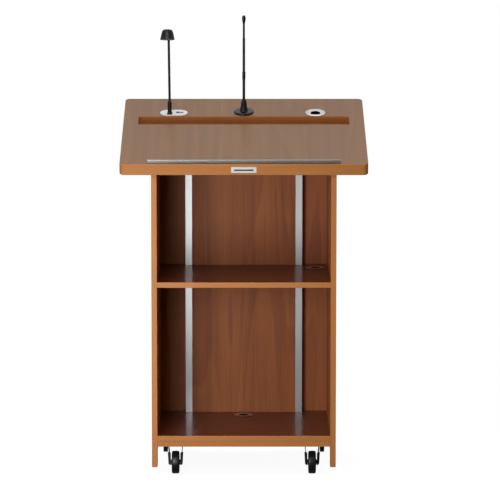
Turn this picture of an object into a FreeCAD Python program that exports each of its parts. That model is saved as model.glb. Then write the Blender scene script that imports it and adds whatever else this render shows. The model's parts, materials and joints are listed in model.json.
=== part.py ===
"""Presentation lectern: wooden cabinet with a sloping desk top, reading lamp, microphone and castors.

Frame: X to the speaker's right, Y towards the audience, Z up, floor at Z = 0, millimetres.
The origin is on the floor under the middle of the desk top.
"""
import FreeCAD, Part
import Sketcher
import math
import os

from FreeCAD import Placement, Rotation, Vector

doc = FreeCAD.newDocument("presentation_lectern")

# ---------------------------------------------------------------- driving sizes

DRIVING_SIZES = {
    # boards and cabinet
    "board": 18, "cabinet_width": 600, "cabinet_depth": 493, "panel_foot": 32, "shelf_height": 641,
    "foot_long": 45, "skirt_height": 84, "foot_corner": 6,
    "rail_height": 18, "rail_depth": 20, "seam": 0.05,
    # desk top
    "desk_width": 803, "desk_length": 595, "desk_thick": 38, "desk_slope": 16.6, "desk_front_height": 1027,
    "desk_overhang": 20, "desk_corner": 16, "desk_edge_round": 2.5,
    "trough_front": 354, "trough_wide": 72, "trough_long": 703, "trough_deep": 20, "trough_corner": 5,
    "cleat": 24, "cleat_setback": 60, "cleat_long": 360,
    # book stop and name plate
    "stop_long": 626, "stop_thick": 4, "stop_stand": 10, "stop_sink": 12, "stop_place": 12, "stop_rebate": 1,
    "plate_long": 82, "plate_high": 20, "plate_thick": 1.2,
    # audience side
    "centre_recess": 26, "centre_width": 350, "post_face": 22.6, "post_groove": 7, "post_wall": 2,
    # dowels and screws
    "dowel_radius": 4, "dowel_long": 30, "dowel_in_side": 12, "dowel_inset": 60, "dowel_clear": 10,
    "screw_radius": 2.5, "screw_head_radius": 4.5, "screw_head_high": 2.2, "cleat_screw_long": 40,
    "castor_screw_long": 15,
    # rows of desk fittings, measured up the slope from the front edge
    "mic_row": 466, "grommet_row": 461, "outlet_row": 456.5, "lamp_row": 445,
    # cable grommets
    "grommet_place": 240, "grommet_hole": 30, "grommet_lip": 3.5, "grommet_flange_high": 2.5,
    "grommet_sleeve": 16, "grommet_wall": 1.6, "grommet_ledge": 2.4, "cap_thick": 3, "cap_gap": 0.3,
    "cable_gate": 32, "cable_gate_low": 18, "cable_gate_high": 10,
    "shelf_grommet_depth": 365, "base_grommet_depth": 387,
    # outlet module
    "outlet_place": 234.6, "outlet_long": 92, "outlet_wide": 52, "outlet_plate": 3, "outlet_lip": 5,
    "outlet_deep": 34, "outlet_case_wall": 2, "port_long": 9.6, "port_wide": 12, "port_deep": 12,
    "port_pitch": 13, "port_place": 13, "port_wall": 1.2,
    # reading lamp
    "lamp_place": 248.3, "lamp_sleeve_radius": 7, "lamp_sleeve_high": 48, "lamp_neck_radius": 3.7,
    "lamp_bend_high": 66, "lamp_neck_long": 188, "lamp_lean": 0.3, "lamp_elbow_radius": 30,
    "lamp_stub_long": 6, "lamp_head_tilt": 10, "shade_rim": 24, "shade_top": 15, "shade_high": 34,
    "shade_wall": 1.6, "shade_offset": 3, "shade_boss": 6, "shade_boss_long": 9, "diffuser_thick": 2,
    # microphone
    "mic_disc": 33.5, "mic_disc_high": 8, "mic_boot_base": 13, "mic_boot_waist": 9.9,
    "mic_boot_shoulder": 8.7, "mic_boot_top": 5.6, "mic_boot_high": 48,
    "mic_neck_radius": 4.3, "mic_lower_bend": 84, "mic_ferrule_low": 119, "mic_ferrule_high": 145,
    "mic_ferrule_radius": 5.3, "mic_stem_radius": 4.0, "mic_stem_top": 265, "mic_thin_radius": 3.3,
    "mic_upper_bend": 289, "mic_capsule_low": 314, "mic_capsule_high": 345, "mic_capsule_radius": 6.2,
    "mic_socket_radius": 17, "mic_socket_deep": 34, "mic_plug_radius": 9.5, "mic_plug_long": 24,
    "flex_gap": 0.3,
    # swivel castors
    "castor_side_clear": 2.5, "castor_axis_depth": 78, "castor_trail": 18, "castor_headroom": 25,
    "tyre_radius": 37.5, "tyre_inner": 26, "tyre_wide": 25, "tyre_round": 5, "hub_boss": 9,
    "hub_wide": 31, "axle_radius": 4, "running_gap": 0.05, "castor_plate": 60, "castor_plate_thick": 2.5,
    "castor_plate_corner": 6, "castor_hole_pitch": 44, "castor_hole": 2.9, "race_radius": 18,
    "race_high": 4.7, "pin_radius": 5, "rivet_radius": 9, "rivet_high": 2.2, "fork_thick": 2.5,
    "fork_crown": 23, "fork_top_half": 23.5, "fork_low_half": 18.75, "fork_end": 9,
    "nut_radius": 6.5, "nut_high": 4,
    # fixed castors
    "fixed_wall_clear": 3.5, "fixed_back_clear": 3, "fixed_wheel": 32, "fixed_wide": 15, "fixed_hub": 8,
    "fixed_hub_wide": 17, "fixed_steel": 2, "fixed_side_gap": 0.5, "fixed_plate_wide": 46,
    "fixed_plate_long": 56, "fixed_axle": 3, "fixed_arm": 12,
}

sheet = doc.addObject("Spreadsheet::Sheet", "sizes")
for row, (word, number) in enumerate(DRIVING_SIZES.items(), start=1):
    sheet.set(f"A{row}", word)
    sheet.set(f"B{row}", str(number))
    sheet.setAlias(f"B{row}", word)
doc.recompute()


class Size:
    """A number that also carries the spreadsheet expression that it comes from."""

    def __init__(self, value, text):
        self.value = float(value)
        self.text = text

    def __add__(self, other):
        other = as_size(other)
        return Size(self.value + other.value, f"({self.text} + {other.text})")

    def __sub__(self, other):
        other = as_size(other)
        return Size(self.value - other.value, f"({self.text} - {other.text})")

    def __mul__(self, other):
        other = as_size(other)
        return Size(self.value * other.value, f"({self.text} * {other.text})")

    def __truediv__(self, other):
        other = as_size(other)
        return Size(self.value / other.value, f"({self.text} / {other.text})")

    def __neg__(self):
        return Size(-self.value, f"(0 - {self.text})")

    def __radd__(self, other):
        return as_size(other) + self

    def __rsub__(self, other):
        return as_size(other) - self

    def __rmul__(self, other):
        return as_size(other) * self


def as_size(number):
    """Wrap a plain number; Size objects pass through."""
    if isinstance(number, Size):
        return number
    return Size(number, f"{float(number):.6f}")


def of(word):
    """The driving size with this name."""
    return Size(sheet.get(word), f"sizes.{word}")


def sine(angle):
    return Size(math.sin(math.radians(angle.value)), f"sin({angle.text})")


def cosine(angle):
    return Size(math.cos(math.radians(angle.value)), f"cos({angle.text})")


def tangent(angle):
    return Size(math.tan(math.radians(angle.value)), f"tan({angle.text})")


def is_bound(number):
    return "sizes." in number.text


# ---------------------------------------------------------------- building helpers

X_AXIS = Vector(1, 0, 0)
Y_AXIS = Vector(0, 1, 0)
Z_AXIS = Vector(0, 0, 1)
UPRIGHT = Rotation()
pieces = []


def bind(item, prop, number):
    """Tie a property to the sheet, or set it where it is a plain number."""
    number = as_size(number)
    if is_bound(number):
        item.setExpression(prop, number.text)
    else:
        setattr(item, prop, number.value)


def place(item, point, rotation=UPRIGHT, angle=None):
    """Put an object at a point; angle, when given, keeps the rotation tied to the sheet too."""
    point = [as_size(number) for number in point]
    item.Placement = Placement(Vector(*[number.value for number in point]), rotation)
    for letter, number in zip("xyz", point):
        if is_bound(number):
            item.setExpression(f"Placement.Base.{letter}", number.text)
    if angle is not None:
        item.setExpression("Placement.Rotation.Angle", angle.text)
    return item


def keep(item, name):
    """Register a finished sub-part under its own name."""
    item.Label = name
    pieces.append(item)
    return item


def block(name, low, size, rotation=UPRIGHT, angle=None):
    """A box from its low corner and its three sides."""
    item = doc.addObject("Part::Box", name)
    for prop, number in zip(("Length", "Width", "Height"), size):
        bind(item, prop, number)
    return place(item, low, rotation, angle)


def rod(name, radius, length, start, rotation=UPRIGHT, angle=None):
    """A cylinder from the middle of its first face."""
    item = doc.addObject("Part::Cylinder", name)
    bind(item, "Radius", radius)
    bind(item, "Height", length)
    return place(item, start, rotation, angle)


def ball(name, radius, centre):
    item = doc.addObject("Part::Sphere", name)
    bind(item, "Radius", radius)
    return place(item, centre)


def joined(name, items):
    item = doc.addObject("Part::MultiFuse", name)
    item.Shapes = items
    return item


def grouped(name, items):
    """Separate solids that share one node."""
    item = doc.addObject("Part::Compound", name)
    item.Links = items
    return item


def cut(name, base, tool):
    item = doc.addObject("Part::Cut", name)
    item.Base = base
    item.Tool = tool
    return item


def common(name, first, second):
    item = doc.addObject("Part::MultiCommon", name)
    item.Shapes = [first, second]
    return item


def origin_plane(body, role):
    return [item for item in body.Origin.OriginFeatures if item.Role == role][0]


def polygon_sketch(body, role, name, points):
    """A closed outline whose corners are all tied to the sheet."""
    sketch = body.newObject("Sketcher::SketchObject", name)
    sketch.AttachmentSupport = [(origin_plane(body, role), "")]
    sketch.MapMode = "FlatFace"
    corners = [(as_size(across), as_size(up)) for across, up in points]
    vectors = [Vector(across.value, up.value, 0) for across, up in corners]
    count = len(corners)
    for index in range(count):
        line = Part.LineSegment(vectors[index], vectors[(index + 1) % count])
        sketch.addGeometry(line, False)
    for index in range(count):
        sketch.addConstraint(Sketcher.Constraint("Coincident", index, 2, (index + 1) % count, 1))
    for index, corner in enumerate(corners):
        for kind, axis, number in zip(("DistanceX", "DistanceY"), (-2, -1), corner):
            if number.value == 0:
                sketch.addConstraint(Sketcher.Constraint("PointOnObject", index, 1, axis))
                continue
            fixed = sketch.addConstraint(Sketcher.Constraint(kind, -1, 1, index, 1, number.value))
            sketch.renameConstraint(fixed, f"{kind}_{index}")
            if is_bound(number):
                sketch.setExpression(f"Constraints.{kind}_{index}", number.text)
    return sketch


def slab(name, role, points, thickness, centred=False):
    """A body with one outline padded to a thickness, along the plane's normal."""
    body = doc.addObject("PartDesign::Body", name)
    sketch = polygon_sketch(body, role, f"{name}_outline", points)
    pad = body.newObject("PartDesign::Pad", f"{name}_pad")
    pad.Profile = sketch
    bind(pad, "Length", thickness)
    if centred:
        pad.SideType = "Symmetric"
    return body


def turned(name, points, start=(0, 0, 0), rotation=UPRIGHT, angle=None):
    """A body turned about its own Z from a half outline of (radius, height) points."""
    body = doc.addObject("PartDesign::Body", name)
    sketch = polygon_sketch(body, "XZ_Plane", f"{name}_profile", points)
    turn = body.newObject("PartDesign::Revolution", f"{name}_turn")
    turn.Profile = sketch
    turn.ReferenceAxis = (sketch, ["V_Axis"])
    turn.Angle = 360
    return place(body, start, rotation, angle)


def rounded(body, name, radius, wanted):
    """Fillet the edges of a body's tip that wanted(edge) picks."""
    doc.recompute()
    tip = body.Tip
    names = [f"Edge{index}" for index, edge in enumerate(tip.Shape.Edges, start=1) if wanted(edge)]
    fillet = body.newObject("PartDesign::Fillet", name)
    fillet.Base = (tip, names)
    bind(fillet, "Radius", radius)
    return fillet


def is_along(edge, axis):
    """True for a straight edge parallel to an axis."""
    if not isinstance(edge.Curve, Part.Line):
        return False
    return abs(abs(edge.Curve.Direction.dot(axis)) - 1) < 1e-6


# ---------------------------------------------------------------- shared places

board = of("board")
seam = of("seam")
slope = of("desk_slope")
desk_length = of("desk_length")
desk_thick = of("desk_thick")
half_width = of("cabinet_width") / 2
half_inside = half_width - board

desk_front = -(desk_length * cosine(slope) + desk_thick * sine(slope)) / 2
cabinet_front = desk_front + of("desk_overhang")
cabinet_back = cabinet_front + of("cabinet_depth")
audience_face = cabinet_back - board
castor_high = of("tyre_radius") * 2 + of("castor_headroom")
base_underside = castor_high + of("rail_height")
base_top = base_underside + board
SLOPED = Rotation(X_AXIS, slope.value)

# A swivelling wheel just misses the side panel; a fixed one stands close to the side and back panels.
castor_across = half_inside - of("castor_trail") - of("tyre_radius") - of("castor_side_clear")
fixed_half = of("fixed_hub_wide") / 2 + of("fixed_side_gap") + of("fixed_steel")
fixed_across = half_inside - of("fixed_wall_clear") - fixed_half - 1.5
fixed_depth = audience_face - of("fixed_back_clear") - of("fixed_wheel")


def under_desk(depth):
    """Height of the desk top's underside at a place in Y."""
    drop = desk_thick / cosine(slope)
    return of("desk_front_height") - drop + (depth - desk_front) * tangent(slope)


def on_desk(across, along, high):
    """A point from its place on the desk: across in X, along up the slope, high off the surface."""
    along = as_size(along)
    high = as_size(high)
    depth = desk_front + along * cosine(slope) - high * sine(slope)
    height = of("desk_front_height") + along * sine(slope) + high * cosine(slope)
    return across, depth, height


def sloped_rod(name, radius, length, across, along, high):
    """A cylinder square to the desk surface."""
    return rod(name, radius, length, on_desk(across, along, high), SLOPED, slope)


def sloped_turned(name, points, across, along, high=0):
    return turned(name, points, on_desk(across, along, high), SLOPED, slope)


def fixed_screw_places(sign):
    """(X, Y) of two screws through the part of each fixed plate that lies inboard of the wheel."""
    across = sign * (fixed_across - of("fixed_plate_wide") / 2 - 2)
    return [(across, fixed_depth + of("fixed_plate_long") * share) for share in (-0.32, 0.32)]


def castor_screw_places(sign):
    """(X, Y, Z) of the underside of every castor plate where a screw goes up, on one side."""
    half_pitch = of("castor_hole_pitch") / 2
    plate_low = castor_high - of("castor_plate_thick")
    places = [(sign * castor_across + sign_x * half_pitch,
               cabinet_front + of("castor_axis_depth") + sign_y * half_pitch, plate_low)
              for sign_x in (-1, 1) for sign_y in (-1, 1)]
    for across, depth in fixed_screw_places(sign):
        places.append((across, depth, castor_high - of("fixed_steel")))
    return places


# ---------------------------------------------------------------- cabinet boards

DOWEL_COUNT = 3
dowel_radius = of("dowel_radius")
# The last dowel stands behind the shelf's cable grommet.
dowel_last = of("shelf_grommet_depth") + of("grommet_hole") + dowel_radius + of("dowel_clear")
dowel_span = dowel_last - of("dowel_inset")
SIDES = {"left": -1, "right": 1}


def dowel_places():
    """(Y, Z) of every dowel between a side panel and the two boards."""
    places = []
    for level in (base_top - board / 2, of("shelf_height") - board / 2):
        for index in range(DOWEL_COUNT):
            depth = cabinet_front + of("dowel_inset") + dowel_span * (index / (DOWEL_COUNT - 1))
            places.append((depth, level))
    return places


def dowel_rods(name, radius, length, start):
    """Rods along +X at every dowel place, from one place in X."""
    turn = Rotation(Y_AXIS, 90)
    rods = []
    for index, (depth, level) in enumerate(dowel_places()):
        rods.append(rod(f"{name}_{index}", radius, length, (start, depth, level), turn))
    return rods


def make_side_panels():
    """Two side boards, each cut away at the floor to leave a foot at the front and one at the back."""
    foot = of("panel_foot")
    skirt = of("skirt_height")
    foot_end = cabinet_front + of("foot_long")
    foot_start = cabinet_back - of("foot_long")
    hole_radius = dowel_radius + seam
    hole_deep = of("dowel_in_side") + seam
    outline = [
        (cabinet_front, foot), (foot_end, foot), (foot_end, skirt), (foot_start, skirt), (foot_start, foot),
        (cabinet_back, foot), (cabinet_back, under_desk(cabinet_back)),
        (cabinet_front, under_desk(cabinet_front)),
    ]
    for side, sign in SIDES.items():
        panel = slab(f"{side}_side_board", "YZ_Plane", outline, board)
        rounded(panel, f"{side}_foot_corners", of("foot_corner"),
                lambda edge: is_along(edge, X_AXIS) and abs(edge.BoundBox.ZMin - skirt.value) < 0.01)
        place(panel, (-half_width if sign < 0 else half_inside, 0, 0))
        start = -half_inside - hole_deep if sign < 0 else half_inside
        holes = joined(f"{side}_side_bores", dowel_rods(f"{side}_side_bore", hole_radius, hole_deep, start))
        keep(cut(f"side_panel_{side}_cut", panel, holes), f"side_panel_{side}")


def level_board(name, top, grommet_across, grommet_depth):
    """A horizontal board between the sides, notched round the centre panel and bored for dowels."""
    notch_half = of("centre_width") / 2 + of("post_face") + seam
    notch_depth = audience_face - of("centre_recess") - of("post_wall") - seam
    outline = [
        (-half_inside, cabinet_front),
        (half_inside, cabinet_front),
        (half_inside, audience_face),
        (notch_half, audience_face),
        (notch_half, notch_depth),
        (-notch_half, notch_depth),
        (-notch_half, audience_face),
        (-half_inside, audience_face),
    ]
    plank = slab(f"{name}_plank", "XY_Plane", outline, board)
    place(plank, (0, 0, top - board))
    inside = of("dowel_long") - of("dowel_in_side") + seam
    tools = [rod(f"{name}_grommet_bore", of("grommet_hole"), board * 3,
                 (grommet_across, grommet_depth, top - board * 2))]
    level = top - board / 2
    for side, sign in SIDES.items():
        start = -half_inside if sign < 0 else half_inside - inside
        for index in range(DOWEL_COUNT):
            depth = cabinet_front + of("dowel_inset") + dowel_span * (index / (DOWEL_COUNT - 1))
            tools.append(rod(f"{name}_{side}_bore_{index}", dowel_radius + seam, inside,
                             (start, depth, level), Rotation(Y_AXIS, 90)))
    keep(cut(f"{name}_cut", plank, joined(f"{name}_bores", tools)), name)


def make_dowels():
    length = of("dowel_long")
    rods = dowel_rods("left_dowel", dowel_radius, length, -half_inside - of("dowel_in_side"))
    rods += dowel_rods("right_dowel", dowel_radius, length, half_inside + of("dowel_in_side") - length)
    keep(grouped("carcass_dowels_set", rods), "carcass_dowels")


def make_audience_side():
    post_face = of("post_face")
    post_wall = of("post_wall")
    groove = of("post_groove")
    centre_half = of("centre_width") / 2
    centre_front = audience_face - of("centre_recess")
    post_outer = centre_half + post_face
    post_front = centre_front - post_wall
    foot = of("panel_foot")

    def upright(name, low_x, width, depth):
        """A board that stands from the foot line to the underside of the desk."""
        outline = [
            (depth, foot),
            (depth + board, foot),
            (depth + board, under_desk(depth + board)),
            (depth, under_desk(depth)),
        ]
        keep(place(slab(f"{name}_board", "YZ_Plane", outline, width), (low_x, 0, 0)), name)

    side_width = half_inside - post_outer + groove
    upright("back_panel_left", -half_inside, side_width, audience_face)
    upright("back_panel_right", half_inside - side_width, side_width, audience_face)
    upright("centre_panel", -centre_half - groove, of("centre_width") + 2 * groove, centre_front)

    # Each post is an aluminium extrusion with one groove for the centre panel and one for the side panel.
    for side, sign in SIDES.items():
        inner = sign * centre_half
        outer = sign * post_outer
        inner_floor = sign * (centre_half + groove + seam)
        outer_floor = sign * (post_outer - groove - seam)
        panel_back = centre_front + board + seam
        outline = [
            (inner, post_front),
            (outer, post_front),
            (outer, audience_face - seam),
            (outer_floor, audience_face - seam),
            (outer_floor, cabinet_back + seam),
            (outer, cabinet_back + seam),
            (outer, cabinet_back + post_wall),
            (inner, cabinet_back + post_wall),
            (inner, panel_back),
            (inner_floor, panel_back),
            (inner_floor, centre_front - seam),
            (inner, centre_front - seam),
        ]
        back = cabinet_back + post_wall
        bar = slab(f"post_bar_{side}", "XY_Plane", outline, under_desk(back) - foot)
        place(bar, (0, 0, foot))
        desk_tool = block(f"post_trim_{side}", on_desk(-half_width, 0, -desk_thick),
                          (half_width * 2, desk_length, desk_thick * 3), SLOPED, slope)
        keep(cut(f"upright_post_{side}_cut", bar, desk_tool), f"upright_post_{side}")


def make_base_frame():
    rail_high = of("rail_height")
    low = castor_high
    rail_deep = of("rail_depth")
    notch_half = of("centre_width") / 2 + of("post_face") + seam
    batten = half_inside - notch_half
    back_line = audience_face - of("centre_recess") - of("post_wall") - seam
    batten_long = audience_face - cabinet_front - rail_deep
    keep(block("front_rail_bar", (-half_inside, cabinet_front, low),
               (half_inside * 2, rail_deep, rail_high)), "base_rail_front")
    keep(block("back_rail_bar", (-notch_half, back_line - rail_deep, low),
               (notch_half * 2, rail_deep, rail_high)), "base_rail_back")
    for side, sign in SIDES.items():
        start = -half_inside if sign < 0 else half_inside - batten
        bar = block(f"{side}_batten_bar", (start, cabinet_front + rail_deep, low),
                    (batten, batten_long, rail_high))
        pilots = [rod(f"{side}_batten_pilot_{index}", of("screw_radius") + seam, of("castor_screw_long") + 1,
                      (across, depth, low - 1))
                  for index, (across, depth, _) in enumerate(castor_screw_places(sign))]
        keep(cut(f"{side}_batten_cut", bar, joined(f"{side}_batten_pilots", pilots)), f"castor_batten_{side}")


# ---------------------------------------------------------------- desk top and what holds it

def pill(name, length, width, deep, across, along, high):
    """A flat-sided slug with round ends, square to the desk, its top at the given height."""
    radius = width / 2
    straight = length - width
    low = high - deep
    middle = block(f"{name}_middle", on_desk(across - straight / 2, along - radius, low),
                   (straight, width, deep), SLOPED, slope)
    ends = [sloped_rod(f"{name}_end_{sign}", radius, deep, across + straight * (sign * 0.5), along, low)
            for sign in (-1, 1)]
    return joined(name, [middle] + ends)


def cleat_screw_places():
    """(across, along) of the screws that come up through the cleats into the desk top."""
    start = (cabinet_front + of("cleat_setback") - desk_front) / cosine(slope)
    along = [start + of("cleat_long") * share for share in (0.15, 0.5, 0.85)]
    across = half_inside - of("cleat") / 2
    return [(sign * across, place_along) for sign in (-1, 1) for place_along in along]


def make_desk_top():
    body = doc.addObject("PartDesign::Body", "desk_board")
    half = of("desk_width") / 2
    sketch = polygon_sketch(body, "XY_Plane", "desk_outline",
                            [(-half, 0), (half, 0), (half, desk_length), (-half, desk_length)])
    pad = body.newObject("PartDesign::Pad", "desk_pad")
    pad.Profile = sketch
    bind(pad, "Length", desk_thick)
    pad.Reversed = True
    rounded(body, "desk_corners", of("desk_corner"), lambda edge: is_along(edge, Z_AXIS))

    full_volume = body.Shape.Volume
    trough_half = of("trough_long") / 2
    front = of("trough_front")
    back = front + of("trough_wide")
    outline = [(-trough_half, front), (trough_half, front), (trough_half, back), (-trough_half, back)]
    trough = body.newObject("PartDesign::Pocket", "trough")
    trough.Profile = polygon_sketch(body, "XY_Plane", "trough_outline", outline)
    bind(trough, "Length", of("trough_deep"))
    doc.recompute()
    removed = full_volume - body.Shape.Volume
    expected = (of("trough_long") * of("trough_wide") * of("trough_deep")).value
    if abs(removed - expected) > 0.01 * expected:
        raise RuntimeError("the trough pocket did not cut the desk top")

    def is_trough_corner(edge):
        low = edge.BoundBox.ZMin > -desk_thick.value + 1
        inside = abs(edge.BoundBox.XMax) < trough_half.value + 1
        return is_along(edge, Z_AXIS) and low and inside

    rounded(body, "trough_corners", of("trough_corner"), is_trough_corner)

    def is_outer_rim(edge):
        box = edge.BoundBox
        flat = box.ZLength < 1e-6
        outside = box.XMax > half.value - of("desk_corner").value - 1 or box.XMin < -half.value + 1
        full_width = box.XLength > (half * 2 - of("desk_corner") * 2).value - 1
        at_face = abs(box.ZMax) < 1e-6 or abs(box.ZMax + desk_thick.value) < 1e-6
        inside_x = box.XMax < trough_half.value + 1 and box.XMin > -trough_half.value - 1
        return flat and at_face and (outside or full_width) and not inside_x

    rounded(body, "desk_soft_edges", of("desk_edge_round"), is_outer_rim)
    place(body, (0, desk_front, of("desk_front_height")), SLOPED, slope)

    case_clear = seam * 2
    stop_slot = block(
        "stop_slot",
        on_desk(-(of("stop_long") / 2) - seam, of("stop_place") - seam, -of("stop_sink") - seam),
        (of("stop_long") + 2 * seam, of("stop_thick") + 2 * seam, of("stop_sink") * 2), SLOPED, slope)
    outlet_hole = pill("outlet_hole", of("outlet_long") - 2 * of("outlet_lip") + case_clear,
                       of("outlet_wide") - 2 * of("outlet_lip") + case_clear, desk_thick * 3,
                       -of("outlet_place"), of("outlet_row"), desk_thick)
    grommet_hole = sloped_rod("desk_grommet_hole", of("grommet_hole"), desk_thick * 3,
                              of("grommet_place"), of("grommet_row"), -desk_thick * 2)
    mic_hole = sloped_rod("mic_hole", of("mic_socket_radius") + seam, desk_thick * 3, 0, of("mic_row"),
                          -desk_thick * 2)
    pilots = [sloped_rod(f"desk_pilot_{index}", of("screw_radius"), desk_thick / 2, across, along,
                         -desk_thick)
              for index, (across, along) in enumerate(cleat_screw_places())]
    tools = joined("desk_cutters", [stop_slot, outlet_hole, grommet_hole, mic_hole] + pilots)
    keep(cut("desk_top_cut", body, tools), "desk_top")


def make_cleats():
    """Battens under the desk, one along each side panel, that the desk top is screwed down to."""
    cleat = of("cleat")
    start = (cabinet_front + of("cleat_setback") - desk_front) / cosine(slope)
    screws = []
    for side, sign in SIDES.items():
        low_x = -half_inside if sign < 0 else half_inside - cleat
        bar = block(f"{side}_cleat_bar", on_desk(low_x, start, -desk_thick - cleat),
                    (cleat, of("cleat_long"), cleat), SLOPED, slope)
        bores = []
        for index, (across, along) in enumerate(cleat_screw_places()):
            if across.value * sign > 0:
                bores.append(sloped_rod(f"{side}_cleat_bore_{index}", of("screw_radius") + seam,
                                        cleat * 3, across, along, -desk_thick - cleat * 2))
        keep(cut(f"{side}_cleat_cut", bar, joined(f"{side}_cleat_bores", bores)), f"desk_cleat_{side}")
    head = of("screw_head_radius")
    head_high = of("screw_head_high")
    shank = of("screw_radius")
    length = of("cleat_screw_long")
    for index, (across, along) in enumerate(cleat_screw_places()):
        profile = [(0, -head_high), (head, -head_high), (head, 0), (shank, 0), (shank, length), (0, length)]
        screws.append(sloped_turned(f"cleat_screw_{index}", profile, across, along, -desk_thick - cleat))
    keep(grouped("cleat_screws_set", screws), "cleat_screws")


def make_book_stop():
    """A flat bar let into a saw slot; a small rebate keeps its front foot off the desk."""
    thick = of("stop_thick")
    rebate = of("stop_rebate")
    outline = [
        (of("stop_place") + rebate, -of("stop_sink")),
        (of("stop_place") + thick, -of("stop_sink")),
        (of("stop_place") + thick, of("stop_stand")),
        (of("stop_place"), of("stop_stand")),
        (of("stop_place"), rebate),
        (of("stop_place") + rebate, rebate),
    ]
    bar = slab("book_stop_bar", "YZ_Plane", outline, of("stop_long"))
    rounded(bar, "book_stop_ends", rebate * 0.6,
            lambda edge: is_along(edge, X_AXIS) and edge.BoundBox.ZMin > of("stop_stand").value - 0.01)
    place(bar, (-(of("stop_long") / 2), desk_front, of("desk_front_height")), SLOPED, slope)
    keep(bar, "book_stop")


def make_name_plate():
    """A blank plate with round corners on the middle of the desk's front edge."""
    half_long = of("plate_long") / 2
    high = of("plate_high")
    low = -(desk_thick / 2) - high / 2
    outline = [(-half_long, low), (half_long, low), (half_long, low + high), (-half_long, low + high)]
    body = slab("name_plate_sheet", "XZ_Plane", outline, of("plate_thick"))
    rounded(body, "name_plate_corners", high * 0.12, lambda edge: is_along(edge, Y_AXIS))
    place(body, (0, desk_front, of("desk_front_height")), SLOPED, slope)
    keep(body, "name_plate")


# ---------------------------------------------------------------- cable grommets

def grommet_profiles():
    """Half outlines of the ring and of the disc that turns inside it, from the board's surface up."""
    hole = of("grommet_hole") - seam
    wall = of("grommet_wall")
    ledge = of("grommet_ledge")
    flange_high = of("grommet_flange_high")
    gap = of("cap_gap")
    bore = hole - wall
    seat = flange_high - of("cap_thick") - gap
    rim = of("grommet_hole") + of("grommet_lip")
    ring = [
        (bore - ledge, seat - wall), (bore - ledge, seat), (bore, seat), (bore, flange_high),
        (rim, flange_high - wall * 0.8), (rim, 0), (hole, 0),
        (hole, -of("grommet_sleeve")), (bore, -of("grommet_sleeve")), (bore, seat - wall * 2.4),
    ]
    cap_low = seat + gap
    cap_radius = bore - gap
    cap = [(0, cap_low), (cap_radius, cap_low), (cap_radius, cap_low + of("cap_thick")),
           (0, cap_low + of("cap_thick"))]
    return ring, cap


def make_grommet(where, across, along, level):
    """One ring and cap: on the desk when level is None, else on the board whose top is at level."""
    ring, cap = grommet_profiles()
    if level is None:
        point, rotation, angle = on_desk(across, along, 0), SLOPED, slope
    else:
        point, rotation, angle = (across, along, level), UPRIGHT, None
    keep(turned(f"grommet_ring_{where}_body", ring, point, rotation, angle), f"grommet_ring_{where}")
    disc = turned(f"grommet_disc_{where}", cap, (0, 0, 0))
    half_gate = of("cable_gate") / 2
    turn_line = of("cable_gate_high") - half_gate
    low = -of("cap_thick") * 2
    deep = of("cap_thick") * 4
    gate = joined(f"cable_gate_{where}", [
        block(f"gate_straight_{where}", (-half_gate, -of("cable_gate_low"), low),
              (of("cable_gate"), of("cable_gate_low") + turn_line, deep)),
        rod(f"gate_round_{where}", half_gate, deep, (0, turn_line, low)),
    ])
    cap_item = cut(f"grommet_cap_{where}_cut", disc, gate)
    place(cap_item, point, rotation, angle)
    keep(cap_item, f"grommet_cap_{where}")


# ---------------------------------------------------------------- outlet module

def make_outlet():
    row_along = of("outlet_row")
    across = -of("outlet_place")
    long = of("outlet_long")
    wide = of("outlet_wide")
    lip = of("outlet_lip")
    plate = of("outlet_plate")
    deep = of("outlet_deep")
    wall = of("outlet_case_wall")
    port_wall = of("port_wall")

    def port_slugs(name, extra, top, depth):
        """One rectangular slug for each port, wider than the port by extra on every side."""
        slugs = []
        for index in range(2):
            middle = across + of("port_place") + of("port_pitch") * index
            slugs.append(block(
                f"{name}_{index}",
                on_desk(middle - of("port_long") / 2 - extra, row_along - of("port_wide") / 2 - extra,
                        top - depth),
                (of("port_long") + 2 * extra, of("port_wide") + 2 * extra, depth), SLOPED, slope))
        return slugs

    sleeve_hole = sloped_rod("bezel_sleeve_hole", of("lamp_sleeve_radius") + seam, plate * 4,
                             -of("lamp_place"), of("lamp_row"), -plate * 2)
    bezel = pill("bezel_blank", long, wide, plate, across, row_along, plate)
    holes = joined("bezel_holes", [sleeve_hole] + port_slugs("bezel_port", port_wall + seam, plate * 2,
                                                            plate * 4))
    keep(cut("outlet_bezel_cut", bezel, holes), "outlet_bezel")

    shell = pill("case_shell", long - 2 * lip, wide - 2 * lip, deep, across, row_along, 0)
    hollow = pill("case_hollow", long - 2 * lip - 2 * wall, wide - 2 * lip - 2 * wall, deep, across,
                  row_along, wall)
    keep(cut("outlet_case_cut", shell, hollow), "outlet_case")

    top = plate
    blanks = port_slugs("port_body", port_wall, top, of("port_deep") + port_wall)
    sockets = port_slugs("port_socket", as_size(0), top + 1, of("port_deep") + 1)
    tongues = []
    ports = []
    for index in range(2):
        ports.append(cut(f"port_{index}", blanks[index], sockets[index]))
        middle = across + of("port_place") + of("port_pitch") * index
        tongues.append(block(
            f"port_tongue_{index}",
            on_desk(middle - of("port_long") * 0.35, row_along + of("port_wide") * 0.22,
                    top - of("port_deep") - port_wall / 2),
            (of("port_long") * 0.7, of("port_wide") * 0.16, of("port_deep") * 0.8), SLOPED, slope))
    whole = [joined(f"port_whole_{index}", [ports[index], tongues[index]]) for index in range(2)]
    keep(grouped("outlet_ports_set", whole), "outlet_ports")


# ---------------------------------------------------------------- reading lamp

lean = of("lamp_lean")
lamp_bend = of("lamp_bend_high")
LEANED = SLOPED.multiply(Rotation(Y_AXIS, -lean.value))


def up_lamp_neck(distance):
    """A point on the leaning neck's centre line, a distance above the bend."""
    across = -of("lamp_place") - distance * sine(lean)
    return on_desk(across, of("lamp_row"), lamp_bend + distance * cosine(lean))


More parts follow.
